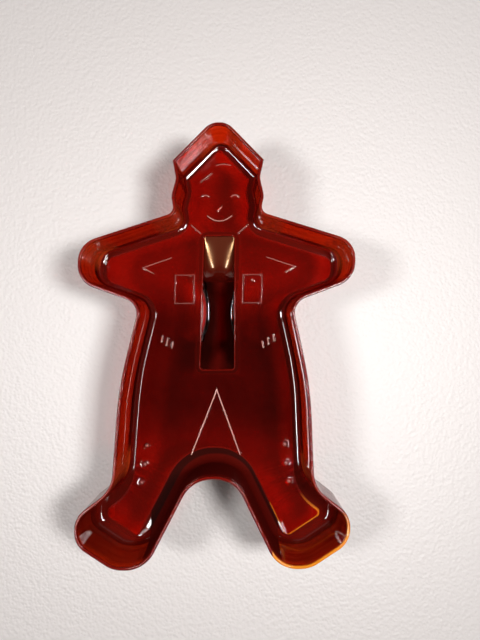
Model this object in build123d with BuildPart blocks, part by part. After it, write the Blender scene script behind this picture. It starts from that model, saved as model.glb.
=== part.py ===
from build123d import *

import os
from math import atan2, degrees, hypot, radians, tan

# A figure-shaped cookie cutter: one clear plastic moulding, shown as the regions it is made of.
# The cavity faces up, the handle is underneath, +Y runs from the feet to the cap.

# Overall sizes, in millimetres, along the middle of the cutting edge
figure_length = 139.0
arm_span = 85.8
foot_span = 85.4

# Widths of the figure, from the cap down
cap_tip_width = 4.8
cap_width = 27.4
temple_width = 25.2
hair_width = 28.0
neck_width = 26.0
waist_width = 46.7
hip_width = 59.1
ankle_width = 62.6
sole_outer_width = 61.4
sole_inner_width = 42.2
crotch_width = 13.8

# Heights of the same corners, as shares of half the figure's length
cap_corner_share = 0.835
temple_share = 0.757
hair_share = 0.676
neck_share = 0.598
hand_top_share = 0.461
hand_bottom_share = 0.300
underarm_share = 0.197
hip_share = -0.188
ankle_share = -0.645
toe_top_share = -0.772
toe_bottom_share = -0.886
crotch_share = -0.594

# Corner radii of the figure
cap_tip_radius = 5.5
cap_corner_radius = 0.0
temple_radius = 4.5
hair_radius = 4.5
neck_radius = 3.0
hand_radius = 7.0
underarm_radius = 5.5
hip_radius = 120.0
ankle_radius = 10.5
toe_radius = 7.1
sole_radius = 9.5
crotch_radius = 10.4

# Most of a side that the arcs at its two ends may fill
side_fill_share = 0.98

# Wall and plate
edge_width = 1.0
edge_round = 0.3
cavity_depth = 16.5
plate_thickness = 2.0
inner_shoulder_radius = 3.0
outer_shoulder_radius = 1.5
inner_draft = 2.0
outer_draft = 2.0

# Slot in the plate, which the inside of the handle is moulded through
slot_length = 46.3
slot_cap_end_width = 10.4
slot_foot_end_width = 11.7
slot_rim_bend = 3.0
slot_centre_share = 0.204

# Hollow handle behind the plate
handle_depth = 20.0
handle_wall = 1.6
handle_floor = 2.0
handle_draft = 1.5
handle_cap_ramp = 15.5
handle_foot_ramp = 8.0
handle_cap_bend = 12.0
handle_foot_bend = 6.0
handle_outer_round = 3.0
handle_inner_round = 2.6

# Finger gap through the handle, under the plate
finger_gap_length = 22.0
finger_gap_offset = -2.9
finger_gap_bend = 8.0
strap_lip = 2.6
strap_waist_width = 10.6

# Raised lines on the plate. Their heights on the figure are shares of half its length.
line_width = 0.9
line_height = 0.7
line_draft = 18.0
stud_diameter = 2.8
stud_height = 1.0
button_diameter = 1.8
stud_dome_share = 0.8

cap_crease_half_width = 2.3
cap_crease_side = 1.1
cap_crease_height_share = 0.888
cap_crease_rise = 0.4
cap_fold_run = 3.9
cap_fold_side = 4.8
cap_fold_height_share = 0.827
cap_fold_rise = 2.6
eye_side = 5.2
eye_height_share = 0.732
eye_width = 2.7
eye_rise = 0.5
nose_height_share = 0.672
nose_run = 1.4
nose_drop = 1.4
smile_height_share = 0.636
smile_width = 8.4
smile_sag = 1.75
collar_outer_side = 9.7
collar_inner_side = 6.5
collar_top_share = 0.590
collar_bottom_share = 0.550
cuff_outer_side = 26.2
cuff_inner_side = 16.5
cuff_return_side = 23.1
cuff_outer_height_share = 0.370
cuff_inner_height_share = 0.417
cuff_return_height_share = 0.344
pocket_outer_side = 15.0
pocket_inner_side = 8.4
pocket_top_share = 0.342
pocket_bottom_share = 0.201
button_drop = 1.9
pleat_count = 3
pleat_outer_side = 19.1
pleat_side_step = 1.85
pleat_height_share = 0.042
pleat_height_step = 1.1
pleat_run = 0.4
pleat_drop = 2.2
seam_top_share = -0.230
seam_bottom_share = -0.552
seam_half_width = 8.4
leg_stud_side_shares = (0.760, 0.780, 0.812)
leg_stud_height_shares = (-0.504, -0.597, -0.688)

# Heights above the face that the handle lies on
plate_back = handle_depth
plate_face = plate_back + plate_thickness
edge_height = plate_face + cavity_depth

half_length = figure_length / 2
slot_centre = half_length * slot_centre_share
slot_cap_end = slot_centre + slot_length / 2
slot_foot_end = slot_centre - slot_length / 2
gap_centre = slot_centre + finger_gap_offset
gap_cap_end = gap_centre + finger_gap_length / 2
gap_foot_end = gap_centre - finger_gap_length / 2

# Heights of the raised lines on the figure
cap_crease_height = half_length * cap_crease_height_share
cap_fold_height = half_length * cap_fold_height_share
eye_height = half_length * eye_height_share
nose_height = half_length * nose_height_share
smile_height = half_length * smile_height_share
collar_top = half_length * collar_top_share
collar_bottom = half_length * collar_bottom_share
cuff_outer_height = half_length * cuff_outer_height_share
cuff_inner_height = half_length * cuff_inner_height_share
cuff_return_height = half_length * cuff_return_height_share
pocket_top = half_length * pocket_top_share
pocket_bottom = half_length * pocket_bottom_share
pleat_height = half_length * pleat_height_share
seam_top = half_length * seam_top_share
seam_bottom = half_length * seam_bottom_share
leg_stud_sides = [ankle_width / 2 * share for share in leg_stud_side_shares]
leg_stud_heights = [half_length * share for share in leg_stud_height_shares]

# The shell and handle are formed rim down, so that their draft narrows away from the rim, and are
# turned over where they are written out. Depths in that position are measured from the rim.
face_depth = cavity_depth
back_depth = cavity_depth + plate_thickness
shoulder_depth = face_depth - inner_shoulder_radius
turn_over = Plane.XY.offset(edge_height / 2)
plate_inset = edge_width / 2 + face_depth * tan(radians(inner_draft)) + inner_shoulder_radius


def figure_corners():
    """Corners of the right half of the outline, from the cap's point to between the legs."""
    return [
        (cap_tip_width / 2, half_length, cap_tip_radius),
        (cap_width / 2, half_length * cap_corner_share, cap_corner_radius),
        (temple_width / 2, half_length * temple_share, temple_radius),
        (hair_width / 2, half_length * hair_share, hair_radius),
        (neck_width / 2, half_length * neck_share, neck_radius),
        (arm_span / 2, half_length * hand_top_share, hand_radius),
        (arm_span / 2, half_length * hand_bottom_share, hand_radius),
        (waist_width / 2, half_length * underarm_share, underarm_radius),
        (hip_width / 2, half_length * hip_share, hip_radius),
        (ankle_width / 2, half_length * ankle_share, ankle_radius),
        (foot_span / 2, half_length * toe_top_share, toe_radius),
        (foot_span / 2, half_length * toe_bottom_share, toe_radius),
        (sole_outer_width / 2, -half_length, sole_radius),
        (sole_inner_width / 2, -half_length, sole_radius),
        (crotch_width / 2, half_length * crotch_share, crotch_radius),
    ]


def held_radii(points, radii):
    """Corner radii of a closed outline, reduced where two arcs would meet on the side between them."""
    count = len(points)
    sides = [Vector(*points[(i + 1) % count]) - Vector(*points[i]) for i in range(count)]
    setbacks = [radii[i] * tan(radians(sides[i - 1].get_angle(sides[i])) / 2) for i in range(count)]
    fits = []
    for i in range(count):
        needed = setbacks[i] + setbacks[(i + 1) % count]
        fits.append(min(1, side_fill_share * sides[i].length / max(needed, edge_width)))
    return [radii[i] * min(fits[i - 1], fits[i]) for i in range(count)]


def figure_outline(grow):
    """Face inside the figure's outline, grown outwards by the given distance."""
    right = figure_corners()
    corners = right + [(-x, y, r) for x, y, r in reversed(right)]
    points = [(x, y) for x, y, r in corners]
    radii = held_radii(points, [r for x, y, r in corners])
    with BuildSketch() as face:
        with BuildLine():
            FilletPolyline(points, radius=radii, close=True)
        make_face()
        offset(amount=grow, kind=Kind.INTERSECTION)
    return face.sketch


def bowl_form(grow, depth, round_radius):
    """The handle's bowl as a solid: side slopes, a ramp at each end and rounded lower edges."""
    foot = slot_foot_end - grow
    cap = slot_cap_end + grow
    spread = (slot_foot_end_width - slot_cap_end_width) / 2
    cap_half = slot_cap_end_width / 2 - spread + grow
    foot_half = slot_foot_end_width / 2 + spread + grow
    with BuildPart() as form:
        with BuildSketch(Plane.XY.offset(face_depth)):
            with BuildLine():
                Polyline(
                    (cap_half, slot_cap_end + slot_length),
                    (-cap_half, slot_cap_end + slot_length),
                    (-foot_half, slot_foot_end - slot_length),
                    (foot_half, slot_foot_end - slot_length),
                    close=True,
                )
            make_face()
        extrude(amount=edge_height, taper=handle_draft)
        with BuildSketch(Plane.YZ):
            with BuildLine():
                bowl = FilletPolyline(
                    (foot, face_depth),
                    (foot, back_depth),
                    (foot + handle_foot_ramp, back_depth + depth),
                    (cap - handle_cap_ramp, back_depth + depth),
                    (cap, back_depth),
                    (cap, face_depth),
                    radius=[slot_rim_bend, handle_foot_bend + grow, handle_cap_bend + grow, slot_rim_bend],
                )
                Line(bowl @ 1, bowl @ 0)
            make_face()
        extrude(amount=arm_span, both=True, mode=Mode.INTERSECT)
        rails = form.edges().filter_by(Axis.X, reverse=True)
        rails = rails.filter_by_position(Axis.Z, face_depth, edge_height, (False, True))
        fillet(rails, radius=round_radius)
    return form.part


with BuildPart() as outer_form:
    with BuildSketch():
        add(figure_outline(edge_width / 2))
    extrude(amount=back_depth, taper=outer_draft)
    fillet(outer_form.faces().sort_by(Axis.Z)[-1].edges(), radius=outer_shoulder_radius)

with BuildPart() as cavity_form:
    with BuildSketch():
        add(figure_outline(-edge_width / 2))
    extrude(amount=face_depth, taper=inner_draft)
    fillet(cavity_form.faces().sort_by(Axis.Z)[-1].edges(), radius=inner_shoulder_radius)

bowl_outside = bowl_form(handle_wall, handle_depth, handle_outer_round)
bowl_inside = bowl_form(0, handle_depth - handle_floor, handle_inner_round)


def write_piece(part, name):
    """Label one piece and write its file."""
    part.label = name
    export_step(part, f"parts/{name}.step")


def raise_line(points):
    """Raise a drafted line with round ends on the plate, straight from point to point."""
    for (x0, y0), (x1, y1) in zip(points, points[1:]):
        with BuildSketch(Plane.XY.offset(plate_face)) as stroke:
            with Locations(((x0 + x1) / 2, (y0 + y1) / 2)):
                angle = degrees(atan2(y1 - y0, x1 - x0))
                SlotCenterToCenter(hypot(x1 - x0, y1 - y0), line_width, rotation=angle)
        extrude(stroke.sketch, amount=line_height, taper=line_draft)


def raise_arc(start, middle, end):
    """Raise a drafted line on the plate along an arc through three points."""
    arc = Edge.make_three_point_arc(start, middle, end)
    with BuildSketch(Plane.XY.offset(plate_face)) as stroke:
        SlotArc(arc, line_width)
    extrude(stroke.sketch, amount=line_height, taper=line_draft)


def raise_studs(places, diameter, height):
    """Raise round studs with domed edges on the plate."""
    with BuildSketch(Plane.XY.offset(plate_face)) as feet:
        with Locations(*places):
            Circle(diameter / 2)
    studs = extrude(feet.sketch, amount=height)
    fillet(studs.faces().filter_by(Plane.XY).group_by(Axis.Z)[-1].edges(), radius=height * stud_dome_share)


os.makedirs("parts", exist_ok=True)

# The shell: thin drafted wall, rounded shoulder and flat plate
with BuildPart() as cutting_wall:
    add(outer_form.part)
    add(cavity_form.part, mode=Mode.SUBTRACT)
    split(bisect_by=Plane.XY.offset(shoulder_depth), keep=Keep.BOTTOM)
    fillet(cutting_wall.faces().sort_by(Axis.Z)[0].edges(), radius=edge_round)
    mirror(about=turn_over, mode=Mode.REPLACE)
write_piece(cutting_wall.part, "cutting_wall")

with BuildPart() as rounded_shoulder:
    add(outer_form.part)
    add(cavity_form.part, mode=Mode.SUBTRACT)
    split(bisect_by=Plane.XY.offset(shoulder_depth), keep=Keep.TOP)
    with BuildSketch(Plane.XY.offset(face_depth)):
        add(figure_outline(-plate_inset))
    extrude(amount=plate_thickness, mode=Mode.SUBTRACT)
    mirror(about=turn_over, mode=Mode.REPLACE)
write_piece(rounded_shoulder.part, "rounded_shoulder")

with BuildPart() as stamp_plate:
    with BuildSketch(Plane.XY.offset(face_depth)):
        add(figure_outline(-plate_inset))
    extrude(amount=plate_thickness)
    add(bowl_inside, mode=Mode.SUBTRACT)
    mirror(about=turn_over, mode=Mode.REPLACE)
write_piece(stamp_plate.part, "stamp_plate")

# The hollow handle: a bowl below the slot, with a gap through it that leaves a strap for the finger
with BuildPart() as grip_handle:
    add(bowl_outside)
    split(bisect_by=Plane.XY.offset(back_depth), keep=Keep.TOP)
    add(bowl_inside, mode=Mode.SUBTRACT)
    with BuildSketch(Plane.YZ):
        with BuildLine():
            gap = FilletPolyline(
                (gap_foot_end, back_depth),
                (gap_foot_end, edge_height - handle_floor - strap_lip),
                (gap_cap_end, edge_height - handle_floor - strap_lip),
                (gap_cap_end, back_depth),
                radius=finger_gap_bend,
            )
            Line(gap @ 1, gap @ 0)
        make_face()
    extrude(amount=arm_span, both=True, mode=Mode.SUBTRACT)
    boss_half = slot_foot_end_width / 2 + handle_wall
    with BuildSketch(Plane.XY.offset(back_depth)):
        with BuildLine():
            waist = ThreePointArc(
                (boss_half, gap_foot_end), (strap_waist_width / 2, gap_centre), (boss_half, gap_cap_end)
            )
            Line(waist @ 1, waist @ 0)
        make_face()
        mirror(about=Plane.YZ)
    extrude(amount=handle_depth, mode=Mode.SUBTRACT)
    mirror(about=turn_over, mode=Mode.REPLACE)
write_piece(grip_handle.part, "grip_handle")

# Raised lines on the plate: cap and face
with BuildPart() as cap_crease_line:
    raise_arc(
        (cap_crease_side - cap_crease_half_width, cap_crease_height),
        (cap_crease_side, cap_crease_height + cap_crease_rise),
        (cap_crease_side + cap_crease_half_width, cap_crease_height),
    )
write_piece(cap_crease_line.part, "cap_crease_line")

with BuildPart() as cap_fold_line:
    raise_line(
        [
            (-cap_fold_side - cap_fold_run / 2, cap_fold_height - cap_fold_rise / 2),
            (-cap_fold_side + cap_fold_run / 2, cap_fold_height + cap_fold_rise / 2),
        ]
    )
write_piece(cap_fold_line.part, "cap_fold_line")

with BuildPart() as nose_line:
    raise_line([(nose_run / 2, nose_height + nose_drop / 2), (-nose_run / 2, nose_height - nose_drop / 2)])
write_piece(nose_line.part, "nose_line")

with BuildPart() as smile_line:
    raise_arc(
        (-smile_width / 2, smile_height),
        (0, smile_height - smile_sag),
        (smile_width / 2, smile_height),
    )
write_piece(smile_line.part, "smile_line")

with BuildPart() as trouser_seam:
    raise_line([(-seam_half_width, seam_bottom), (0, seam_top), (seam_half_width, seam_bottom)])
write_piece(trouser_seam.part, "trouser_seam")

with BuildPart() as pocket_button:
    button_side = (pocket_outer_side + pocket_inner_side) / 2
    raise_studs([(button_side, pocket_top - button_drop)], button_diameter, line_height)
write_piece(pocket_button.part, "pocket_button")

# Raised lines that come in pairs
for side, word in ((-1, "left"), (1, "right")):
    with BuildPart() as eye_line:
        raise_arc(
            (side * eye_side - eye_width / 2, eye_height),
            (side * eye_side, eye_height + eye_rise),
            (side * eye_side + eye_width / 2, eye_height),
        )
    write_piece(eye_line.part, f"{word}_eye_line")

    with BuildPart() as collar_line:
        raise_line([(side * collar_outer_side, collar_top), (side * collar_inner_side, collar_bottom)])
    write_piece(collar_line.part, f"{word}_collar_line")

    with BuildPart() as cuff_line:
        raise_line(
            [
                (side * cuff_inner_side, cuff_inner_height),
                (side * cuff_outer_side, cuff_outer_height),
                (side * cuff_return_side, cuff_return_height),
            ]
        )
    write_piece(cuff_line.part, f"{word}_cuff_line")

    with BuildPart() as pocket_line:
        raise_line(
            [
                (side * pocket_inner_side, pocket_top),
                (side * pocket_outer_side, pocket_top),
                (side * pocket_outer_side, pocket_bottom),
                (side * pocket_inner_side, pocket_bottom),
                (side * pocket_inner_side, pocket_top),
            ]
        )
    write_piece(pocket_line.part, f"{word}_pocket_line")

    with BuildPart() as waist_pleats:
        for step in range(pleat_count):
            x = pleat_outer_side - step * pleat_side_step
            y = pleat_height - step * pleat_height_step
            raise_line([(side * x, y), (side * (x + pleat_run), y - pleat_drop)])
    write_piece(waist_pleats.part, f"{word}_waist_pleats")

    with BuildPart() as leg_buttons:
        places = [(side * x, y) for x, y in zip(leg_stud_sides, leg_stud_heights)]
        raise_studs(places, stud_diameter, stud_height)
    write_piece(leg_buttons.part, f"{word}_leg_buttons")
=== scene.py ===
"""Figure-shaped cookie cutter: one clear deep-red moulding, on a pale table, seen into its cavity."""

import bmesh
import bpy
import numpy as np
from bpy.props import FloatProperty, FloatVectorProperty, PointerProperty
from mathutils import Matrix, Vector
from mathutils.geometry import delaunay_2d_cdt


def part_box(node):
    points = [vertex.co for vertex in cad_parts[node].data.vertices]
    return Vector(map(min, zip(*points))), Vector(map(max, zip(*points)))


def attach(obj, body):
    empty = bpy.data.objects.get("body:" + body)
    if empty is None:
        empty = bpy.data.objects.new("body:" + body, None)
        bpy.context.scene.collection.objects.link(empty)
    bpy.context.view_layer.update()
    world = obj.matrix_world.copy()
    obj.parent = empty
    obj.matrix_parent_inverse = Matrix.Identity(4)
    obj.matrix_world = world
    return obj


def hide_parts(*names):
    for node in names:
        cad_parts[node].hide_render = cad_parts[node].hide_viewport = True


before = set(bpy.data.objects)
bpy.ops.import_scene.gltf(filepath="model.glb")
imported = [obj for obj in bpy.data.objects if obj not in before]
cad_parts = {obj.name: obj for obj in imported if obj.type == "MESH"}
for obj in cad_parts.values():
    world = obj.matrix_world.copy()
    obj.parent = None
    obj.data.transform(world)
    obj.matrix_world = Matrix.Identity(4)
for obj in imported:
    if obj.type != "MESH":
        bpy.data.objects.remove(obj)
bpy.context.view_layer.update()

bl_info = {
    "name": "Figure cookie cutter",
    "version": (1, 0, 0),
    "blender": (4, 5, 0),
    "location": "View3D > Sidebar > Cutter",
    "description": "Moulds a figure-shaped cookie cutter in clear red plastic and sets it on a table",
    "category": "Add Mesh",
}

PLATE_LOW, PLATE_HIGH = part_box("stamp_plate")
WALL_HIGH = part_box("cutting_wall")[1]
MM = 0.001

# Half the figure's length in millimetres
HALF_LENGTH = 69.5

# Right half of the figure, from the cap's point to between the legs. For each corner: half width in millimetres,
# height as a share of the half length, radius in millimetres. Then for the side after it, in millimetres: how far
# in the shoulder reaches, right and left, and the radius of the bend at the foot of its wall.
FIGURE = [
    (2.4, 1.0, 5.5, 2.7, 2.3, 1.2),
    (13.7, 0.835, 0.0, 2.6, 1.9, 1.2),
    (12.6, 0.757, 4.5, 2.8, 1.9, 1.2),
    (14.0, 0.676, 4.5, 3.0, 1.9, 1.2),
    (13.0, 0.598, 3.0, 3.3, 2.6, 1.8),
    (42.9, 0.461, 7.0, 3.2, 3.2, 3.6),
    (42.9, 0.3, 7.0, 1.8, 1.4, 1.8),
    (23.35, 0.197, 5.5, 3.3, 2.2, 2.0),
    (29.55, -0.188, 120.0, 3.3, 2.4, 2.4),
    (31.3, -0.645, 10.5, 7.0, 5.5, 2.6),
    (42.7, -0.772, 7.1, 6.0, 5.0, 4.4),
    (42.7, -0.886, 7.1, 4.4, 4.0, 4.0),
    (30.7, -1.0, 9.5, 2.2, 2.4, 2.6),
    (21.1, -1.0, 9.5, 3.6, 5.6, 3.6),
    (6.9, -0.594, 10.4, 4.6, 4.6, 3.6),
]
TIP_REACH, TIP_BEND = 1.6, 1.4

# Rows of a shell's profile: rim, wall, bend and slope, after one row at the middle of the rim
RIM_ROWS, WALL_ROWS, BEND_ROWS, SLOPE_ROWS = 7, 15, 12, 12

# Skew of the outline as the photo shows it: millimetres up the figure for each one to its right
SKEW = 0.026

# How strong a painted pale highlight each raised stroke gets, in the order of plate_strokes: cap, face, seam and
# button, then for each side its eye, collar, cuff, pleats, leg buttons and pocket
SIDE_LINE_HIGHLIGHT = [0.5, 0.4, 0.35, 0.6, 0.6, 0.6, 0.4, 0.4, 0.4, 0.2]
LINE_HIGHLIGHT = [0.35, 0.35, 0.7, 0.7, 1.0, 0.4, *SIDE_LINE_HIGHLIGHT, *SIDE_LINE_HIGHLIGHT]

# Painted glow spots in the wall at the hands, the neck, the ankles and the cap's point, in metres: distance from
# the middle, height up the figure, radius
PAINTED_GLOW_SPOTS = [(0.0405, 0.031, 0.007), (0.0165, 0.041, 0.006), (0.0305, -0.041, 0.006), (0.0045, 0.0655, 0.004)]

# Colour of the table far from the cutter and of the backdrop at the horizon
BACKDROP = (0.8, 0.76, 0.74)

# The hollow handle behind the slot, in millimetres and radians
HANDLE = {
    "slot_foot_end": -8.97,
    "slot_cap_end": 37.33,
    "foot_half": 5.85,
    "cap_half": 5.2,
    "corner": 1.0,
    "slot_edge": 0.3,
    "wall": 1.6,
    "floor": 2.0,
    "draft": 0.026,
    "foot_ramp": 8.0,
    "cap_ramp": 15.5,
    "foot_bend": 6.0,
    "cap_bend": 12.0,
    "step_foot": 16.5,
    "step_cap": 25.0,
    "step_height": 17.2,
    "gap_foot_end": 0.28,
    "gap_cap_end": 22.28,
    "lip_height": 4.6,
    "waist_half": 5.3,
}


class CutterSizes(bpy.types.PropertyGroup):
    """Sizes and colour of the cutter."""

    edge_width: FloatProperty(
        name="Edge width", description="Thickness of the cutting edge", default=0.001, unit="LENGTH"
    )
    edge_round: FloatProperty(
        name="Edge round", description="Radius of the cutting edge's corners", default=0.0004, unit="LENGTH"
    )
    plate_back: FloatProperty(
        name="Plate back", description="Height of the plate's back", default=PLATE_LOW[2], unit="LENGTH"
    )
    plate_face: FloatProperty(
        name="Plate face", description="Height of the plate's face", default=PLATE_HIGH[2], unit="LENGTH"
    )
    rim_height: FloatProperty(
        name="Rim height", description="Height of the cutting edge", default=WALL_HIGH[2], unit="LENGTH"
    )
    inner_draft: FloatProperty(
        name="Inner draft", description="Slope of the wall's inside", default=np.radians(2.0), subtype="ANGLE"
    )
    outer_draft: FloatProperty(
        name="Outer draft", description="Slope of the wall's outside", default=np.radians(2.0), subtype="ANGLE"
    )
    shoulder_rise: FloatProperty(
        name="Shoulder rise", description="Height from the plate to the bend's foot", default=0.0003, unit="LENGTH"
    )
    outer_shoulder: FloatProperty(
        name="Outer shoulder", description="Radius of the corner at the plate's back", default=0.0012, unit="LENGTH"
    )
    line_height: FloatProperty(
        name="Line height", description="Height of the raised lines", default=0.0003, unit="LENGTH"
    )
    line_width: FloatProperty(
        name="Line width", description="Width of the raised lines", default=0.0008, unit="LENGTH"
    )
    tint: FloatVectorProperty(
        name="Tint", description="Colour that the plastic lets through", subtype="COLOR", default=(0.945, 0.5, 0.05)
    )
    depth_of_colour: FloatProperty(
        name="Depth of colour", description="How strongly the plastic absorbs, per metre", default=5000.0
    )


class StageSettings(bpy.types.PropertyGroup):
    """Table, lamps and camera."""

    camera_place: FloatVectorProperty(
        name="Camera", description="Place of the camera", subtype="TRANSLATION", default=(0.00764, 0.00827, 0.187)
    )
    camera_roll: FloatProperty(
        name="Camera roll", description="Turn of the camera about its view", default=np.radians(0.95), subtype="ANGLE"
    )
    camera_lens: FloatProperty(name="Lens", description="Focal length in millimetres", default=26.77)
    lamp_power: FloatProperty(name="Lamps", description="Power of each lamp in watts", default=0.59)
    strip_power: FloatProperty(
        name="Strips", description="Power of each long strip that draws the gloss lines, in watts", default=0.5
    )
    table_colour: FloatVectorProperty(
        name="Table", description="Colour of the table", subtype="COLOR", default=(0.93, 0.87, 0.845)
    )


class Wire:
    """A value in a node tree. Arithmetic on it adds Math nodes."""

    def __init__(self, tree, socket):
        self.tree, self.socket = tree, socket

    def math(self, operation, *others):
        return add_node(self.tree, "ShaderNodeMath", {"operation": operation}, {i: v for i, v in enumerate(others)})

    def __add__(self, other):
        return self.math("ADD", self, other)

    def __radd__(self, other):
        return self.math("ADD", other, self)

    def __sub__(self, other):
        return self.math("SUBTRACT", self, other)

    def __rsub__(self, other):
        return self.math("SUBTRACT", other, self)

    def __mul__(self, other):
        return self.math("MULTIPLY", self, other)

    def __rmul__(self, other):
        return self.math("MULTIPLY", other, self)


def add_node(tree, kind, settings, values, output=0):
    """Add a node, apply its settings, then set or link its sockets; returns one of its outputs as a Wire."""
    node = tree.nodes.new(kind)
    for name, value in settings.items():
        if name == "stops":
            ramp = node.color_ramp
            for i, (place, colour) in enumerate(value):
                stop = ramp.elements[i] if i < 2 else ramp.elements.new(place)
                stop.position, stop.color = place, (*colour, 1.0)
        else:
            setattr(node, name, value)
    for key, value in values.items():
        if isinstance(value, Wire):
            tree.links.new(value.socket, node.inputs[key])
        else:
            node.inputs[key].default_value = value
    return Wire(tree, node.outputs[output])


def mix_shader(tree, share, first, second):
    """The first shader where share is 0, the second where it is 1."""
    return add_node(tree, "ShaderNodeMixShader", {}, {0: share, 1: first, 2: second}, "Shader")


def mix_colour(tree, share, first, second, blend="MIX"):
    """The first colour where share is 0, the second, or its blend with the first, where it is 1."""
    first, second = (c if isinstance(c, Wire) else (*c, 1.0) for c in (first, second))
    settings = {"data_type": "RGBA", "blend_type": blend}
    return add_node(tree, "ShaderNodeMix", settings, {0: share, 6: first, 7: second}, 2)


def fade(tree, value, start, end, kind="LINEAR"):
    """0 where the value is at start, 1 where it is at end, and held beyond them."""
    values = {"Value": value, "From Min": start, "From Max": end}
    return add_node(tree, "ShaderNodeMapRange", {"interpolation_type": kind}, values)


def mark(tree, name):
    """One of the mesh's own marks."""
    return add_node(tree, "ShaderNodeAttribute", {"attribute_name": name}, {}, "Fac")


def noise(tree, where, scale, detail, roughness=0.5):
    """Soft noise, from 0 to 1."""
    values = {"Vector": where, "Scale": scale, "Detail": detail, "Roughness": roughness}
    return add_node(tree, "ShaderNodeTexNoise", {}, values)


def ray(tree, kind):
    """1 on rays of that kind."""
    return add_node(tree, "ShaderNodeLightPath", {}, {}, f"Is {kind} Ray")


def plastic(tree, bump, colour, roughness, ior, **more):
    """A plastic surface. Constants stay on its sockets."""
    colour = colour if isinstance(colour, Wire) else (*colour, 1.0)
    values = {"Base Color": colour, "Roughness": roughness, "IOR": ior, "Normal": bump, **more}
    return add_node(tree, "ShaderNodeBsdfPrincipled", {}, values, "BSDF")


def new_material(name):
    """A material with an empty node tree and its output node."""
    material = bpy.data.materials.new(name)
    material.use_nodes = True
    material.node_tree.nodes.clear()
    return material, material.node_tree


# Shapes


def figure_levels(grow, arc_steps=14, side_steps=10):
    """Loops round the figure, one for each level.

    grow has one row per level and one column per side: how far outside the middle of the cutting edge that
    side lies, in millimetres. Each corner is where its two moved sides meet. It is rounded by its own radius,
    which grows with an outer corner and shrinks with an inner one. Every loop has the same number of points,
    so the levels join as a grid.
    """
    right = [(half_width, round(share * HALF_LENGTH, 2), radius) for half_width, share, radius, *_ in FIGURE]
    corners = np.array(right + [(-x, y, r) for x, y, r in reversed(right)])
    points, radii = corners[:, :2], corners[:, 2]
    ahead = np.roll(points, -1, axis=0) - points
    ahead /= np.linalg.norm(ahead, axis=1)[:, None]
    before = np.roll(ahead, 1, axis=0)
    out = np.stack([-ahead[:, 1], ahead[:, 0]], axis=1)
    out_before = np.roll(out, 1, axis=0)
    turn = np.arctan2(before[:, 0] * ahead[:, 1] - before[:, 1] * ahead[:, 0], np.sum(before * ahead, axis=1))
    bulge = -np.sign(turn)
    reach = np.sum(points * out, axis=1) + grow
    reach_before = np.roll(reach, 1, axis=1)
    cross = out_before[:, 0] * out[:, 1] - out_before[:, 1] * out[:, 0]
    corner_x = (reach_before * out[:, 1] - reach * out_before[:, 1]) / cross
    corner_y = (out_before[:, 0] * reach - out[:, 0] * reach_before) / cross
    corner = np.stack([corner_x, corner_y], axis=2)
    swell = (grow + np.roll(grow, 1, axis=1)) / 2
    radius = np.maximum(radii + bulge * swell, np.where(radii > 0, 1.2, 0.3))
    lever = np.tan(np.abs(turn) / 2)
    setback = radius * lever
    space = np.linalg.norm(np.roll(corner, -1, axis=1) - corner, axis=2)
    fit = np.minimum(1, 0.97 * space / (setback + np.roll(setback, -1, axis=1)))
    radius *= np.minimum(fit, np.roll(fit, 1, axis=1))
    setback = (radius * lever)[:, :, None]
    start, end = corner - setback * before, corner + setback * ahead
    swing = (bulge * radius)[:, :, None]
    centre = start - swing * out_before
    angle = np.linspace(0, 1, arc_steps) * turn[:, None]
    spoke_x = np.cos(angle) * out_before[:, :1] - np.sin(angle) * out_before[:, 1:]
    spoke_y = np.sin(angle) * out_before[:, :1] + np.cos(angle) * out_before[:, 1:]
    arcs = centre[:, :, None] + swing[:, :, None] * np.stack([spoke_x, spoke_y], axis=2)
    along = np.linspace(0, 1, side_steps + 2)[1:-1, None]
    sides = end[:, :, None] + along * (np.roll(start, -1, axis=1) - end)[:, :, None]
    loops = np.concatenate([arcs, sides], axis=2)
    return loops.reshape(len(grow), -1, 2)


def shoulder_sides():
    """Each side's shoulder reach and bend radius, in the order of the outline's sides."""
    right, left, bend = np.array([corner[3:] for corner in FIGURE]).T
    return np.array([*right, *left[-2::-1], TIP_REACH]), np.array([*bend, *bend[-2::-1], TIP_BEND])


def spread_round(sides, arc_steps=14, side_steps=10):
    """Values of the sides, one row per level, carried to each point of a loop and blended round the corners."""
    share = np.linspace(0, 1, arc_steps)
    here, before = sides[:, :, None], np.roll(sides, 1, axis=1)[:, :, None]
    arcs = before + share * (here - before)
    straight = np.broadcast_to(here, (*sides.shape, side_steps))
    return np.concatenate([arcs, straight], axis=2).reshape(len(sides), -1, 1)


def at_height(loops, heights):
    """Flat loops of points lifted to the given heights, one for each loop."""
    z = np.broadcast_to(np.reshape(heights, (-1, 1, 1)), (*loops.shape[:2], 1))
    return np.concatenate([loops, z], axis=2)


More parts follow.
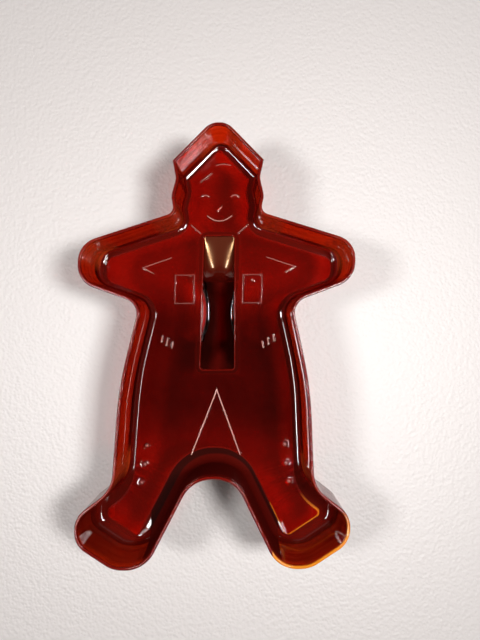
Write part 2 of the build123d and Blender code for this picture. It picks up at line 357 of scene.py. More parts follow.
def shell_sheet(sizes, side, draft, foot, bend, rise, reach):
    """One side of the shell, from the middle of the rim down to the plate, as levels of loops.

    Profile: a quarter round at the cutting edge, the drafted wall, an arc of each side's own bend radius through
    72 degrees, a parabola that falls by rise and ends flat at that side's reach, then a narrow flat ring. side is
    1 outside and -1 inside.
    """
    half, edge, rim = sizes.edge_width / 2 / MM, sizes.edge_round / MM, sizes.rim_height / MM
    quarter = np.linspace(0, np.pi / 2, RIM_ROWS)[:, None]
    arc = np.radians(np.linspace(0, 72, BEND_ROWS + 1)[1:, None])
    ramp = np.linspace(0, 1, SLOPE_ROWS + 1)[1:, None]
    every = np.ones(len(reach))
    wall_end = foot + rise + bend * np.sin(arc[-1])
    wall_z = rim - edge + np.linspace(0, 1, WALL_ROWS + 1)[1:, None] * (wall_end - rim + edge)
    wall = side * half - (rim - edge - wall_z) * np.tan(draft)
    bent = wall[-1] - bend * (1 - np.cos(arc))
    eased = bent[-1] - ramp * np.maximum(reach - bend * (1 - np.cos(arc[-1])), 0.3)
    round_out = side * (half - edge + edge * np.sin(quarter)) * every
    grow = np.concatenate([0 * wall[:1], round_out, wall, bent, eased, eased[-1:] - 0.25])
    z = [rim + 0 * wall[:1], (rim - edge + edge * np.cos(quarter)) * every, wall_z]
    z += [wall_end - bend * np.sin(arc), foot + rise * (1 - ramp) ** 2 * every, foot + 0 * wall[:1]]
    return np.concatenate([figure_levels(grow), spread_round(np.concatenate(z))], axis=2)


def stroke_levels(path, width, height):
    """A raised stroke as loops that shrink from its foot to its spine.

    Profile across the stroke: a raised cosine, steepest half way up. The path is moved to both sides along its
    mitred normals, and half circles close the ends.
    """
    path = np.asarray(path, float)
    ahead = np.diff(path, axis=0)
    ahead /= np.linalg.norm(ahead, axis=1)[:, None]
    before, after = np.vstack([ahead[:1], ahead]), np.vstack([ahead, ahead[-1:]])
    normal = np.stack([-(before + after)[:, 1], (before + after)[:, 0]], axis=1)
    normal /= np.linalg.norm(normal, axis=1)[:, None]
    mitre = normal / np.sum(normal * np.stack([-after[:, 1], after[:, 0]], axis=1), axis=1)[:, None]
    cap = np.linspace(0, np.pi, 11)[1:-1, None]
    far = np.cos(cap) * mitre[-1] + np.sin(cap) * ahead[-1]
    near = -np.cos(cap) * mitre[0] - np.sin(cap) * ahead[0]
    share = np.array([1.3, 1.0, 0.86, 0.72, 0.58, 0.44, 0.3, 0.15, 0.0])
    spread = np.concatenate([mitre, far, -mitre[::-1], near])
    spine = np.concatenate([path, np.repeat(path[-1:], 9, 0), path[::-1], np.repeat(path[:1], 9, 0)])
    loops = spine + (share * width / 2)[:, None, None] * spread
    return at_height(loops, height * (0.5 + 0.5 * np.cos(np.pi * np.minimum(share, 1))))


def ring_levels(corners, width, height):
    """A raised closed stroke as loops from its outer foot to its inner foot, with the same cosine profile."""
    corners = np.asarray(corners, float)
    sides = np.roll(corners, -1, axis=0) - corners
    sides /= np.linalg.norm(sides, axis=1)[:, None]
    out = np.stack([-sides[:, 1], sides[:, 0]], axis=1)
    mitre = out + np.roll(out, 1, axis=0)
    mitre /= np.sum(mitre * out, axis=1)[:, None]
    share = np.concatenate([[1.3], np.linspace(1, -1, 15), [-1.3]])
    loops = corners + (share * width / 2)[:, None, None] * mitre
    return at_height(loops, height * (0.5 + 0.5 * np.cos(np.pi * np.clip(share, -1, 1))))


def rounded_path(points, radii, count):
    """An open path through points, its inner corners rounded by arcs, as count points evenly spaced along it."""
    points = np.asarray(points, float)
    ahead = np.diff(points, axis=0)
    ahead /= np.linalg.norm(ahead, axis=1)[:, None]
    pieces = [points[:1]]
    for corner, before, after, radius in zip(points[1:-1], ahead, ahead[1:], radii):
        turn = np.arctan2(before[0] * after[1] - before[1] * after[0], before @ after)
        setback = radius * np.tan(abs(turn) / 2)
        normal = np.sign(turn) * np.array([-before[1], before[0]])
        start = corner - setback * before
        angle = np.linspace(0, abs(turn), 60)[:, None]
        pieces.append(start + radius * (np.sin(angle) * before + (1 - np.cos(angle)) * normal))
    path = np.concatenate([*pieces, points[-1:]])
    return resample(path, np.linspace(0, 1, count))


def resample(path, shares):
    """Points of a path at the given shares of its length."""
    run = np.concatenate([[0], np.cumsum(np.linalg.norm(np.diff(path, axis=0), axis=1))])
    return np.stack([np.interp(shares * run[-1], run, path[:, i]) for i in range(path.shape[1])], axis=1)


def trough(top, floor, half_width, rounding, draft):
    """A trough swept along its length as a grid: one row per station, from its right edge across to its left.

    Each station lies in a plane through its top point and its floor point. Its section is a drafted wall, a
    quarter ellipse and a flat floor, and mirrors about the middle. Where top and floor meet it is a straight line.
    """
    fall = floor - top
    depth = np.linalg.norm(fall, axis=1)[:, None]
    round_x = np.minimum(rounding, 0.85 * half_width[:, None])
    round_z = np.minimum(round_x, 0.92 * depth)
    lean = np.tan(draft) * -fall[:, 1:] / np.maximum(depth, 1e-9)
    wall = np.linspace(0, 1, 8) * (depth - round_z)
    angle = np.linspace(0, np.pi / 2, 10)[1:]
    wall_x = half_width[:, None] - lean * wall
    arc_x = wall_x[:, -1:] - round_x * (1 - np.cos(angle))
    floor_x = arc_x[:, -1:] * np.linspace(1, 0, 8)[1:]
    down = np.concatenate([wall, depth - round_z * (1 - np.sin(angle)), depth * np.ones(7)], axis=1)
    x = np.concatenate([wall_x, arc_x, floor_x], axis=1)
    x, down = np.concatenate([x, -x[:, -2::-1]], axis=1), np.concatenate([down, down[:, -2::-1]], axis=1)
    share = (down / np.maximum(depth, 1e-9))[:, :, None]
    return np.concatenate([x[:, :, None], top[:, None] + share * fall[:, None]], axis=2)


def end_round(y, low, high, radius):
    """How much a rounded slot's half width shrinks near its two ends."""
    near = np.clip(np.minimum(y - low, high - y), 0, radius)
    return radius - np.sqrt(radius**2 - (radius - near) ** 2)


def handle_sheets(sizes):
    """The hollow handle: its inside and outside as two troughs, the lips of its finger gap, and its two loops.

    The inside runs from the slot's foot end down a ramp, along the floor and up to its cap end. Its top edge
    follows the plate's back, the finger gap's outline and the plate's back again. The outside does the same one
    wall further out. The lips join them across the wall with a half ellipse.
    """
    back = sizes.plate_back / MM
    foot, cap = HANDLE["slot_foot_end"], HANDLE["slot_cap_end"]
    gap_foot, gap_cap, lip = HANDLE["gap_foot_end"], HANDLE["gap_cap_end"], HANDLE["lip_height"]
    wall, floor = HANDLE["wall"], HANDLE["floor"]
    ease = 1 - np.cos(np.linspace(0, np.pi / 2, 14))
    gap = rounded_path([(gap_foot, back), (gap_foot, lip), (gap_cap, lip), (gap_cap, back)], [8.0, 8.0], 61)

    def side(grow, low):
        near, far = foot - grow, cap + grow
        path = [(near, back), (near + HANDLE["foot_ramp"], low), (far - HANDLE["cap_ramp"], low), (far, back)]
        bends = [HANDLE["foot_bend"] + grow, HANDLE["cap_bend"] + grow]
        if grow == 0:
            path[2:3] = [(HANDLE["step_foot"], low), (HANDLE["step_cap"], HANDLE["step_height"])]
            bends[1:] = [6.0, 7.0]
        bowl = rounded_path(path, bends, 600)
        first = np.stack([near + (gap_foot - near) * ease, np.full(14, back)], axis=1)
        last = np.stack([far + (gap_cap - far) * ease[::-1], np.full(14, back)], axis=1)
        top = np.concatenate([first, gap[1:-1], last])
        run = np.concatenate([[0], np.cumsum(np.linalg.norm(np.diff(top, axis=0), axis=1))])
        bottom = resample(bowl, run / run[-1])
        share = (top[:, 0] - foot) / (cap - foot)
        half = HANDLE["foot_half"] + (HANDLE["cap_half"] - HANDLE["foot_half"]) * share + grow
        half -= (back - top[:, 1]) * np.tan(HANDLE["draft"])
        half -= end_round(top[:, 0], near, far, HANDLE["corner"] + grow)
        waist = HANDLE["waist_half"] + 2.2 * ((2 * top[:, 0] - gap_foot - gap_cap) / (gap_cap - gap_foot)) ** 2
        in_gap = np.zeros(len(top), bool)
        in_gap[14:-14] = True
        half = np.where(in_gap, np.minimum(half, waist - wall + grow + 0.2 * (grow == 0)), half)
        return top, bottom, half

    top_in, bottom_in, half_in = side(0.0, floor)
    top_out, bottom_out, half_out = side(wall, 0.0)
    inside = trough(top_in, bottom_in, half_in, 4.6, HANDLE["draft"])
    outside = trough(top_out, bottom_out, half_out, 3.0, HANDLE["draft"])
    rows = slice(13, -13)
    tangent = np.gradient(gap, axis=0)
    tangent /= np.linalg.norm(tangent, axis=1)[:, None]
    angle = np.linspace(0, np.pi, 9)
    middle, half_wall = (half_in[rows] + half_out[rows]) / 2, (half_out[rows] - half_in[rows]) / 2
    lip_x = middle[:, None] - half_wall[:, None] * np.cos(angle)
    bulge = 0.4 * np.sin(angle)[None, :, None] * np.stack([-tangent[:, 1], tangent[:, 0]], axis=1)[:, None]
    lip_right = np.concatenate([lip_x[:, :, None], gap[:, None] + bulge], axis=2)

    mirror = np.array([-1, 1, 1])
    flat_y = np.linspace(gap_foot, gap_cap, 24)[1:-1]
    edge = inside[:, 0]
    flat_x = np.interp(flat_y, [gap_foot, gap_cap], [edge[13, 0], edge[-14, 0]])
    along_gap = np.stack([flat_x, flat_y, np.full(22, back)], axis=1)
    slot_right = np.concatenate([edge[:14], along_gap, edge[-14:]])
    slot = np.concatenate([slot_right, inside[-1], (slot_right * mirror)[::-1], inside[0, ::-1]])
    rim = outside[:, 0]
    boss_right = np.concatenate([rim[:14], lip_right[0, ::-1], along_gap, lip_right[-1], rim[-14:]])
    boss = np.concatenate([boss_right, outside[-1], (boss_right * mirror)[::-1], outside[0, ::-1]])
    return inside, outside, lip_right, lip_right * mirror, clean_loop(slot), clean_loop(boss)


def clean_loop(loop):
    """A closed loop without points that repeat the one before."""
    step = np.linalg.norm(loop - np.roll(loop, 1, axis=0), axis=1)
    return loop[step > 1e-5]


def slot_levels(loop, sizes):
    """The slot's wall up through the plate, its upper edge rounded, then a narrow flat ring."""
    flat = loop[:, :2]
    tangent = np.roll(flat, -1, axis=0) - np.roll(flat, 1, axis=0)
    tangent /= np.linalg.norm(tangent, axis=1)[:, None]
    out = np.stack([tangent[:, 1], -tangent[:, 0]], axis=1)
    angle = np.linspace(0, np.pi / 2, 7)
    back, face, round_ = sizes.plate_back / MM, sizes.plate_face / MM, HANDLE["slot_edge"]
    spread = np.concatenate([[0, 0, 0], round_ * (1 - np.cos(angle)), [round_ + 0.2]])
    z = np.concatenate([np.linspace(back, face - round_, 4)[:3], face - round_ + round_ * np.sin(angle), [face]])
    return at_height(flat + spread[:, None, None] * out, z)


def inside_loops(points, loops):
    """Whether each point lies inside an odd number of the loops, by counting crossings of a ray."""
    inside = np.zeros(len(points), bool)
    for loop in loops:
        a, b = loop, np.roll(loop, -1, axis=0)
        x, y = points[:, :1], points[:, 1:]
        spans = (a[:, 1] > y) != (b[:, 1] > y)
        rise = np.where(a[:, 1] == b[:, 1], 1.0, b[:, 1] - a[:, 1])
        crossing = a[:, 0] + (y - a[:, 1]) * (b[:, 0] - a[:, 0]) / rise
        inside ^= (np.sum(spans & (x < crossing), axis=1) % 2).astype(bool)
    return inside


def flat_region(loops, height):
    """Triangles that fill the plane between loops: a constrained triangulation, kept where the loops enclose it."""
    points = np.concatenate(loops)
    starts = np.cumsum([0] + [len(loop) for loop in loops[:-1]])
    edges = np.concatenate(
        [np.stack([i + np.arange(len(p)), i + np.roll(np.arange(len(p)), -1)], axis=1) for i, p in zip(starts, loops)]
    )
    made = delaunay_2d_cdt([Vector(p) for p in points], edges.tolist(), [], 0, 1e-7)
    flat, triangles = np.array([v[:] for v in made[0]]), np.array(made[2])
    keep = inside_loops(flat[triangles].mean(axis=1), loops)
    return np.concatenate([flat, np.full((len(flat), 1), height)], axis=1), triangles[keep]


class Skin:
    """Collects sheets of points and makes one mesh of them."""

    def __init__(self):
        self.points, self.quads, self.triangles, self.count = [], [], [], 0
        self.thick, self.worn, self.painted_line_highlight = [], [], []

    def add_sheet(self, sheet, closed, thick=0.0, worn=0.0, painted_line_highlight=0.0):
        """A grid of points. closed joins the end of each row to its start.

        The three marks, from 0 to 1 for the whole sheet, each row or each point, say how much painted shade, how much
        painted light along an edge and how much painted pale highlight on a raised line the surface gets there.
        """
        rows, columns = sheet.shape[:2]
        index = self.count + np.arange(rows * columns).reshape(rows, columns)
        if closed:
            index = np.concatenate([index, index[:, :1]], axis=1)
        quads = np.stack([index[:-1, :-1], index[:-1, 1:], index[1:, 1:], index[1:, :-1]], axis=-1)
        self.points.append(sheet.reshape(-1, 3))
        self.thick.append(np.broadcast_to(thick, (rows, columns)).ravel())
        self.worn.append(np.broadcast_to(worn, (rows, columns)).ravel())
        self.painted_line_highlight.append(np.broadcast_to(painted_line_highlight, (rows, columns)).ravel())
        self.quads.append(quads.reshape(-1, 4))
        self.count += rows * columns

    def add_region(self, points, triangles):
        """Points and the triangles between them."""
        self.points.append(points)
        self.thick.append(np.zeros(len(points)))
        self.worn.append(np.zeros(len(points)))
        self.painted_line_highlight.append(np.zeros(len(points)))
        self.triangles.append(triangles + self.count)
        self.count += len(points)

    def build(self, name):
        """One mesh, skewed, its shared points merged and its faces pointing outwards. Reports edges left open."""
        mesh = bpy.data.meshes.new(name)
        points = np.concatenate(self.points)
        points[:, 1] += SKEW * points[:, 0]
        faces = np.concatenate(self.quads).tolist() + np.concatenate(self.triangles).tolist()
        mesh.from_pydata((points * MM).tolist(), [], faces)
        for layer, marks in (("thick", self.thick), ("worn", self.worn), ("painted_line_highlight", self.painted_line_highlight)):
            mesh.attributes.new(layer, "FLOAT", "POINT").data.foreach_set("value", np.concatenate(marks))
        work = bmesh.new()
        work.from_mesh(mesh)
        bmesh.ops.remove_doubles(work, verts=work.verts, dist=1e-6)
        bmesh.ops.dissolve_degenerate(work, edges=work.edges, dist=1e-7)
        bmesh.ops.recalc_face_normals(work, faces=work.faces)
        open_edges = sum(not edge.is_manifold for edge in work.edges)
        work.to_mesh(mesh)
        work.free()
        if open_edges:
            print(f"{name}: {open_edges} open edges")
        mesh.polygons.foreach_set("use_smooth", np.ones(len(mesh.polygons), bool))
        mesh.set_sharp_from_angle(angle=np.radians(42))
        return mesh


def plate_strokes(sizes):
    """The raised strokes of the face and clothes, right and left, as levels of loops."""
    width, height = sizes.line_width / MM, sizes.line_height / MM

    def arc(start, middle, end, count=15):
        t = np.linspace(0, 1, count)[:, None]
        start, middle, end = np.array(start), np.array(middle), np.array(end)
        return start * (1 - t) * (1 - 2 * t) + middle * 4 * t * (1 - t) + end * t * (2 * t - 1)

    def line(start, end, count=6):
        return np.array(start) + np.linspace(0, 1, count)[:, None] * (np.array(end) - np.array(start))

    seam_left, seam_right = line((-8.4, -38.4), (0, -16.0), 12), line((0, -16.0), (8.4, -38.4), 12)
    strokes = [
        stroke_levels(arc((-1.2, 61.7), (1.1, 62.1), (3.4, 61.7)), width, height),
        stroke_levels(line((-6.75, 56.2), (-2.85, 58.8)), width, height),
        stroke_levels(line((0.7, 47.4), (-0.7, 46.0)), width, height),
        stroke_levels(arc((-4.2, 44.2), (0.0, 42.45), (4.2, 44.2)), width, height),
        stroke_levels(np.concatenate([seam_left[:-1], seam_right]), width, height),
        stroke_levels(line((11.69, 21.9), (11.71, 21.9), 2), 1.8, height),
    ]
    for s in (-1, 1):
        cuff, cuff_end = line((s * 16.5, 29.8), (s * 26.2, 26.5), 8), line((s * 26.2, 26.5), (s * 23.1, 24.7), 5)
        strokes += [
            stroke_levels(arc((s * 5.2 - 1.35, 50.9), (s * 5.2, 51.4), (s * 5.2 + 1.35, 50.9)), width, height),
            stroke_levels(line((s * 9.7, 41.0), (s * 6.5, 38.2)), width, height),
            stroke_levels(np.concatenate([cuff[:-1], cuff_end]), width, height),
        ]
        for step in range(3):
            x, y = 19.1 - 1.85 * step, 2.9 - 1.1 * step
            strokes.append(stroke_levels(line((s * x, y), (s * (x + 0.4), y - 2.2)), width, height))
        for x, y in ((23.8, -35.0), (24.4, -41.5), (25.4, -47.8)):
            strokes.append(stroke_levels(line((s * x - 0.01, y), (s * x + 0.01, y), 2), 2.8, 1.0))
        low, high = sorted((s * 8.4, s * 15.0))
        corners = np.array([(low, 14.0), (low, 23.8), (high, 23.8), (high, 14.0)])
        strokes.append(ring_levels(corners, width, height))
    return strokes


def cutter_mesh(sizes):
    """The whole moulding as one surface, so that light passes through it with no inner faces.

    The marks go with it. Painted shade: the shoulder, the whole wall at the feet and the crotch, and the handle's
    bowl. Painted light: the plate's edge, the slot's edges and the outside of the ankles. Painted pale highlight: the
    upper half of each raised stroke.
    """
    back, face = sizes.plate_back / MM, sizes.plate_face / MM
    reach, bend = shoulder_sides()
    cavity = shell_sheet(sizes, -1, sizes.inner_draft, face, bend, sizes.shoulder_rise / MM, reach)
    corner = sizes.outer_shoulder / MM * np.ones(len(reach))
    outside = shell_sheet(sizes, 1, sizes.outer_draft, back, corner, 0.05, corner)
    bowl_in, bowl_out, lip_right, lip_left, slot, boss = handle_sheets(sizes)
    slot_wall = slot_levels(slot, sizes)
    strokes = plate_strokes(sizes)
    skin = Skin()
    level = np.arange(len(cavity))[:, None]
    bend = RIM_ROWS + WALL_ROWS + 1
    plate_edge = bend + BEND_ROWS + SLOPE_ROWS - 1
    before = plate_edge - np.array([3, 2, 1])
    beside, up = np.abs(cavity[..., 0]), cavity[..., 1]
    foot = np.interp(up, [-56, -47], [1, 0])
    crotch = np.interp(beside, [20, 26], [1, 0]) * np.interp(up, [-34, -26], [1, 0])
    # Painted shade: dark from the bend to the plate's edge, and over the whole wall at the feet and the crotch
    thick = np.interp(level, [bend + 4, bend + BEND_ROWS - 1, before[1], before[2]], [0, 1, 1, 0])
    on_wall = np.interp(level, [1, 10, before[0], before[2]], [0, 0.9, 0.9, 0])
    thick = np.maximum(thick, np.maximum(foot, crotch) * on_wall)
    # Painted light along the plate's edge
    worn = np.interp(level, [before[1], before[2], plate_edge, plate_edge + 1], [0, 0.8, 0.8, 0])
    skin.add_sheet(cavity, True, thick, worn)
    beside, up = np.abs(outside[..., 0]), outside[..., 1]
    # Painted light on the outside of the ankles
    ankle = np.interp(beside, [26, 30], [0, 1]) * np.interp(up, [-56, -53, -42, -38], [0, 1, 1, 0])
    skin.add_sheet(outside, True, 0.0, ankle)
    level, last = np.arange(len(slot_wall))[:, None], len(slot_wall) - 1
    # Painted light along the slot's edges
    skin.add_sheet(slot_wall, True, 0.0, np.interp(level, [0, 1, last - 1, last], [0, 0.8, 0.8, 0]))
    across = np.abs(np.linspace(-1, 1, bowl_in.shape[1]))
    # Painted shade in the handle's bowl
    skin.add_sheet(bowl_in, False, np.interp(across, [0, 0.3, 0.45, 0.97, 1], [0.8, 0.85, 1, 1, 0]))
    for sheet in (bowl_out, lip_right, lip_left):
        skin.add_sheet(sheet, False)
    feet = []
    for stroke, amount in zip(strokes, LINE_HIGHLIGHT):
        lifted = stroke + np.array([0, 0, face])
        lift = stroke[:, :1, 2] / stroke[:, 0, 2].max()
        # Painted pale highlight on the upper half of each stroke
        skin.add_sheet(lifted, True, 0.0, 0.0, amount * np.clip((lift - 0.5) / 0.3, 0, 1))
        feet.append(stroke[0, :, :2])
        if stroke[-1, 0, 2] < 1e-9:
            feet.append(stroke[-1, :, :2])
    top_loops = [clean_loop(loop) for loop in (cavity[-1, :, :2], slot_wall[-1, :, :2], *feet)]
    skin.add_region(*flat_region(top_loops, face))
    skin.add_region(*flat_region([clean_loop(outside[-1, :, :2]), boss[:, :2]], back))
    return skin.build("red_cutter")


# Materials


def painted_glow_spots(tree, x, y):
    """Where the painted glow spots lie: round soft spots at both sides, each 1 in its middle and 0 from its radius
    on.
    """
    spots = None
    for side, up, reach in PAINTED_GLOW_SPOTS:
        across, beside = x.math("ABSOLUTE", x) - side, y - up
        spot = fade(tree, across * across + beside * beside, reach * reach, 0.0)
        spots = spot if spots is None else spots.math("MAXIMUM", spots, spot)
    return spots


def slot_painted_light(tree, sizes, x, y, height):
    """Where painted light lies round the slot on the plate's face: distance past the slot's side or end, whichever is
    greater.
    """
    middle = (HANDLE["slot_foot_end"] + HANDLE["slot_cap_end"]) / 2 * MM
    past_side = x.math("ABSOLUTE", x) - (HANDLE["foot_half"] + 0.1) * MM
    past_end = (y - middle).math("ABSOLUTE", y - middle) - (HANDLE["slot_cap_end"] * MM - middle)
    border = past_side.math("MAXIMUM", past_side, past_end)
    return fade(tree, border, 0.0022, 0.0014) * height.math("GREATER_THAN", height, sizes.plate_face - 0.0001)


def clear_plastic(tree, sizes, where, bump, rough, body, low_down, straight):
    """Clear red plastic with flow streaks, and painted shade that darkens it down the body. Lamps shine through it
    with a plain tint.
    """
    along = add_node(tree, "ShaderNodeMapping", {}, {"Vector": where, "Scale": (0.06, 0.06, 1.0)})
    stops = [(0.3, (0.5, 0.16, 0.12)), (0.55, (1.0, 0.6, 0.5))]
    tone = add_node(tree, "ShaderNodeValToRGB", {"stops": stops}, {"Fac": noise(tree, along, 900.0, 3.0)})
    # Painted shade: the plastic darker down the body
    tone = mix_colour(tree, body * low_down, tone, (0.34, 0.34, 0.34), "MULTIPLY")
    surface = plastic(tree, bump, tone, rough, 1.55, **{"Transmission Weight": 1.0})
    tints = [(0.4, 0.07, 0.05, 1.0), (0.78, 0.4, 0.32, 1.0)]
    through_wall, through_plate = (
        add_node(tree, "ShaderNodeBsdfTransparent", {}, {"Color": tint}, "BSDF") for tint in tints
    )
    return mix_shader(tree, straight, surface, mix_shader(tree, low_down, through_wall, through_plate))


def red_plastic(sizes):
    """Red plastic: clear, with absorption in its volume, faint moulding ripple and fine scratches.

    Over the clear plastic lie surfaces painted at fixed places: a diffuse layer in the plate with painted shade down
    the body, painted shade at the bends and in the handle, painted glow spots in the wall, painted light along the
    edge and painted pale highlights on the raised lines. Each is mixed in by the mesh's own marks or by where it lies
    on the object.
    """
    material, tree = new_material("clear_red_plastic")
    where = add_node(tree, "ShaderNodeTexCoord", {}, {}, "Object")
    x, y, height = (add_node(tree, "ShaderNodeSeparateXYZ", {}, {"Vector": where}, axis) for axis in "XYZ")
    lift = noise(tree, where, 90.0, 2.0) * 0.8 + noise(tree, where, 1400.0, 3.0) * 0.05
    bump = add_node(tree, "ShaderNodeBump", {}, {"Height": lift, "Strength": 0.03, "Distance": 0.001}, "Normal")
    thick, worn, painted_line_highlight = (mark(tree, name) for name in ("thick", "worn", "painted_line_highlight"))

    rim = fade(tree, height, sizes.rim_height - 0.0007, sizes.rim_height - 0.0001)
    rough = noise(tree, where, 260.0, 4.0) * 0.05 + 0.01 + rim * 0.08
    # Where the body's plate gets painted shade
    body = fade(tree, y, 0.024, 0.006, "SMOOTHSTEP") * fade(tree, y, -0.048, -0.02, "SMOOTHSTEP")
    low_down = height.math("LESS_THAN", height, sizes.plate_face + 0.002)
    on_wall = height.math("GREATER_THAN", height, sizes.plate_face + 0.001)
    in_plate = height.math("GREATER_THAN", height, sizes.plate_back + 0.0001) * low_down
    in_handle = height.math("LESS_THAN", height, sizes.plate_back)
    handle_floor = in_handle * y.math("LESS_THAN", y, 0.022)
    handle_ramp = in_handle * fade(tree, y, 0.022, 0.03)
    legs = x.math("LESS_THAN", x.math("ABSOLUTE", x), 0.022) * y.math("LESS_THAN", y, -0.024)
    # Where the painted shade is matt: between the legs and on the handle's floor
    matt_shade_place = legs.math("MAXIMUM", legs, handle_floor)
    # Where the painted light along the edge turns orange
    right_toe_glow = x.math("GREATER_THAN", x, 0.019) * fade(tree, y, -0.051, -0.057)
    straight = ray(tree, "Shadow") + ray(tree, "Diffuse")

    # A diffuse red layer over the plate in place of what shows through it, darker down the body: painted light and
    # shade
    painted_plate_tone = plastic(tree, bump, mix_colour(tree, body, (0.19, 0.005, 0.002), (0.05, 0.002, 0.001)), 0.5, 1.02)
    # Dark glossy plastic: painted shade at the bends, the feet, the crotch and in the handle
    painted_shade_gloss = plastic(tree, bump, (0.09, 0.004, 0.002), 0.06, 1.42)
    # Dark plastic with orange-tinted gloss: painted shade on the handle's ramp
    ramp_light = {"Specular Tint": (1.0, 0.6, 0.3, 1.0)}
    ramp = plastic(tree, bump, (0.08, 0.006, 0.002), 0.2, 1.65, **ramp_light)
    # Dark matt plastic, darkest where the painted shade mark is strongest: painted shade between the legs and on the
    # handle's floor
    painted_shade_colour = mix_colour(tree, (1 - thick) * 5, (0.03, 0.002, 0.001), (0.13, 0.005, 0.003))
    painted_shade_matt = plastic(tree, bump, painted_shade_colour, 0.5, 1.05)
    # Orange-red plastic: painted glow spots in the wall
    painted_glow = plastic(tree, bump, (0.9, 0.09, 0.015), 0.3, 1.3)
    # Dark red plastic, orange at the right toe: painted light along the edges
    edge = plastic(tree, bump, mix_colour(tree, right_toe_glow, (0.2, 0.006, 0.003), (0.95, 0.30, 0.02)), 0.12, 1.22)
    # Pale pink plastic: painted highlight on the raised lines
    pale = plastic(tree, bump, (0.85, 0.42, 0.34), 0.4, 1.5)

    look = clear_plastic(tree, sizes, where, bump, rough, body, low_down, straight)
    look = mix_shader(tree, in_plate * (1 - straight) * 0.4, look, painted_plate_tone)
    dark = mix_shader(tree, matt_shade_place, mix_shader(tree, handle_ramp, painted_shade_gloss, ramp), painted_shade_matt)
    look = mix_shader(tree, thick * (0.9 + (matt_shade_place + handle_ramp) * 0.3), look, dark)
    look = mix_shader(tree, painted_glow_spots(tree, x, y) * on_wall * 0.4, look, painted_glow)
    # Painted light along the rim, the plate's edge, the slot's edges and the outside of the ankles
    lit_edge = rim * 0.8 + worn * 0.7 + slot_painted_light(tree, sizes, x, y, height) * 0.15
    look = mix_shader(tree, lit_edge, look, edge)
    look = mix_shader(tree, painted_line_highlight * 0.8, look, pale)
    colour = {"Color": (*sizes.tint, 1.0), "Density": sizes.depth_of_colour}
    volume = add_node(tree, "ShaderNodeVolumeAbsorption", {}, colour, "Volume")
    output = tree.nodes.new("ShaderNodeOutputMaterial")
    tree.links.new(look.socket, output.inputs["Surface"])
    tree.links.new(volume.socket, output.inputs["Volume"])
    return material


def table_top(stage):
    """Pale table with a fine leather-like grain, small cells under soft noise, that runs out into the backdrop."""
    material, tree = new_material("pale_table")
    where = add_node(tree, "ShaderNodeTexCoord", {}, {}, "Object")
    cells = add_node(
        tree, "ShaderNodeTexVoronoi", {"feature": "SMOOTH_F1"}, {"Vector": where, "Scale": 900.0}, "Distance"
    )
    lift = cells * 0.6 + noise(tree, where, 500.0, 4.0) * 0.6
    bump = add_node(tree, "ShaderNodeBump", {}, {"Height": lift, "Strength": 0.7, "Distance": 0.0005}, "Normal")
    surface = plastic(tree, bump, stage.table_colour, 0.55, 1.5)
    away = add_node(tree, "ShaderNodeVectorMath", {"operation": "LENGTH"}, {0: where}, "Value")
    paper = add_node(tree, "ShaderNodeEmission", {}, {"Color": (*BACKDROP, 1.0), "Strength": 1.0}, "Emission")
    shown = mix_shader(tree, fade(tree, away, 0.1, 0.4) * seen_directly(tree), surface, paper)
    output = tree.nodes.new("ShaderNodeOutputMaterial")
    tree.links.new(shown.socket, output.inputs["Surface"])
    return material


def seen_directly(tree):
    """1 on the rays that show the backdrop: straight to the camera, mirrored, or through clear plastic."""
    camera, glossy, through = (ray(tree, kind) for kind in ("Camera", "Glossy", "Transmission"))
    return camera.math("MAXIMUM", camera, glossy.math("MAXIMUM", glossy, through))


def studio_world():
    """Weak warm room light, and a backdrop that is pale at the horizon and dark overhead."""
    world = bpy.data.worlds.new("studio")
    world.use_nodes = True
    tree = world.node_tree
    tree.nodes.clear()
    direction = add_node(tree, "ShaderNodeTexCoord", {}, {}, "Generated")
    up = add_node(tree, "ShaderNodeSeparateXYZ", {}, {"Vector": direction}, "Z")
    overhead = (0.03, 0.024, 0.02)
    stops = [(0.0, (0.2, 0.13, 0.105)), (0.7, overhead), (0.3, (0.07, 0.05, 0.042))]
    room = add_node(tree, "ShaderNodeValToRGB", {"stops": stops}, {"Fac": up})
    stops = [(0.0, BACKDROP), (0.8, overhead), (0.15, (0.55, 0.52, 0.5)), (0.45, (0.1, 0.085, 0.075))]
    backdrop = add_node(tree, "ShaderNodeValToRGB", {"stops": stops}, {"Fac": up})
    shown = mix_colour(tree, seen_directly(tree), room, backdrop)
    light = add_node(tree, "ShaderNodeBackground", {}, {"Color": shown, "Strength": 1.0}, "Background")
    output = tree.nodes.new("ShaderNodeOutputWorld")
    tree.links.new(light.socket, output.inputs["Surface"])
    return world


# Operators


class CUTTER_OT_mould(bpy.types.Operator):
    """Mould the cutter as one surface in clear red plastic."""

    bl_idname = "cutter.mould"
    bl_label = "Mould cutter"

    def execute(self, context):
        sizes = context.scene.cutter_sizes
        mesh = cutter_mesh(sizes)
        mesh.materials.append(red_plastic(sizes))
        cutter = bpy.data.objects.new("figure_cutter", mesh)
        context.scene.collection.objects.link(cutter)
        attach(cutter, "root")
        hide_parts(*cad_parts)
        return {"FINISHED"}


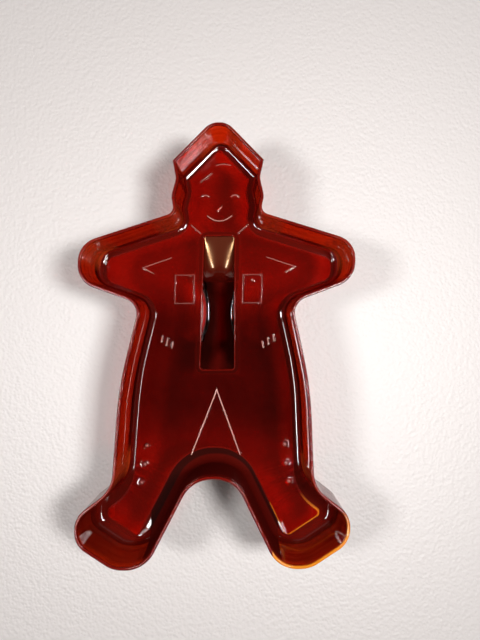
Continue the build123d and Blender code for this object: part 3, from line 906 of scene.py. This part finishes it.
class CUTTER_OT_stage(bpy.types.Operator):
    """Set the table, the lamps and the camera."""

    bl_idname = "cutter.stage"
    bl_label = "Set table, lamps and camera"

    def execute(self, context):
        stage = context.scene.cutter_stage
        scene = context.scene
        table = bpy.data.meshes.new("table")
        half = 1.5
        corners = [(-half, -half, 0), (half, -half, 0), (half, half, 0), (-half, half, 0)]
        table.from_pydata(corners, [], [(0, 1, 2, 3)])
        table.materials.append(table_top(stage))
        top = bpy.data.objects.new("table", table)
        scene.collection.objects.link(top)

        scene.world = studio_world()
        lamps = [
            ("lamp_left", (-0.133, 0.0115, 0.2925), 0.0576, 0.0448, stage.lamp_power * 0.62),
            ("lamp_right", (0.1075, 0.0115, 0.2925), 0.0576, 0.0448, stage.lamp_power * 1.2),
        ]
        strips = [
            ("strip_left", (-0.112, -0.09, 0.233), 0.02, 0.12, stage.strip_power),
            ("strip_right", (0.092, -0.09, 0.233), 0.02, 0.12, stage.strip_power),
        ]
        for name, place, width, depth, power in lamps + strips:
            light = bpy.data.lights.new(name, "AREA")
            light.shape = "RECTANGLE"
            light.size, light.size_y, light.energy = width, depth, power
            lamp = bpy.data.objects.new(name, light)
            lamp.location = place
            lamp.rotation_euler = (0, np.arctan2(place[0], place[2] - 0.02), 0)
            lamp.visible_camera = False
            lamp.visible_diffuse = name.startswith("lamp")
            scene.collection.objects.link(lamp)

        view = bpy.data.cameras.new("camera")
        view.sensor_width, view.lens = 36.0, stage.camera_lens
        view.clip_start = 0.01
        camera = bpy.data.objects.new("camera", view)
        camera.location = stage.camera_place
        camera.rotation_euler = (0, 0, stage.camera_roll)
        scene.collection.objects.link(camera)
        scene.camera = camera
        scene.view_settings.view_transform = "Standard"
        return {"FINISHED"}


class CUTTER_PT_panel(bpy.types.Panel):
    """Sizes, and the buttons that make the cutter and its stage."""

    bl_label = "Figure cutter"
    bl_idname = "CUTTER_PT_panel"
    bl_space_type = "VIEW_3D"
    bl_region_type = "UI"
    bl_category = "Cutter"

    def draw(self, context):
        for group in (context.scene.cutter_sizes, context.scene.cutter_stage):
            for name in group.bl_rna.properties.keys():
                if name not in ("rna_type", "name"):
                    self.layout.prop(group, name)
        self.layout.operator("cutter.mould")
        self.layout.operator("cutter.stage")


CLASSES = (CutterSizes, StageSettings, CUTTER_OT_mould, CUTTER_OT_stage, CUTTER_PT_panel)


def register():
    for kind in CLASSES:
        bpy.utils.register_class(kind)
    bpy.types.Scene.cutter_sizes = PointerProperty(type=CutterSizes)
    bpy.types.Scene.cutter_stage = PointerProperty(type=StageSettings)


def unregister():
    del bpy.types.Scene.cutter_sizes
    del bpy.types.Scene.cutter_stage
    for kind in reversed(CLASSES):
        bpy.utils.unregister_class(kind)


def main():
    register()
    bpy.ops.cutter.mould()
    bpy.ops.cutter.stage()


if __name__ == "__main__":
    main()
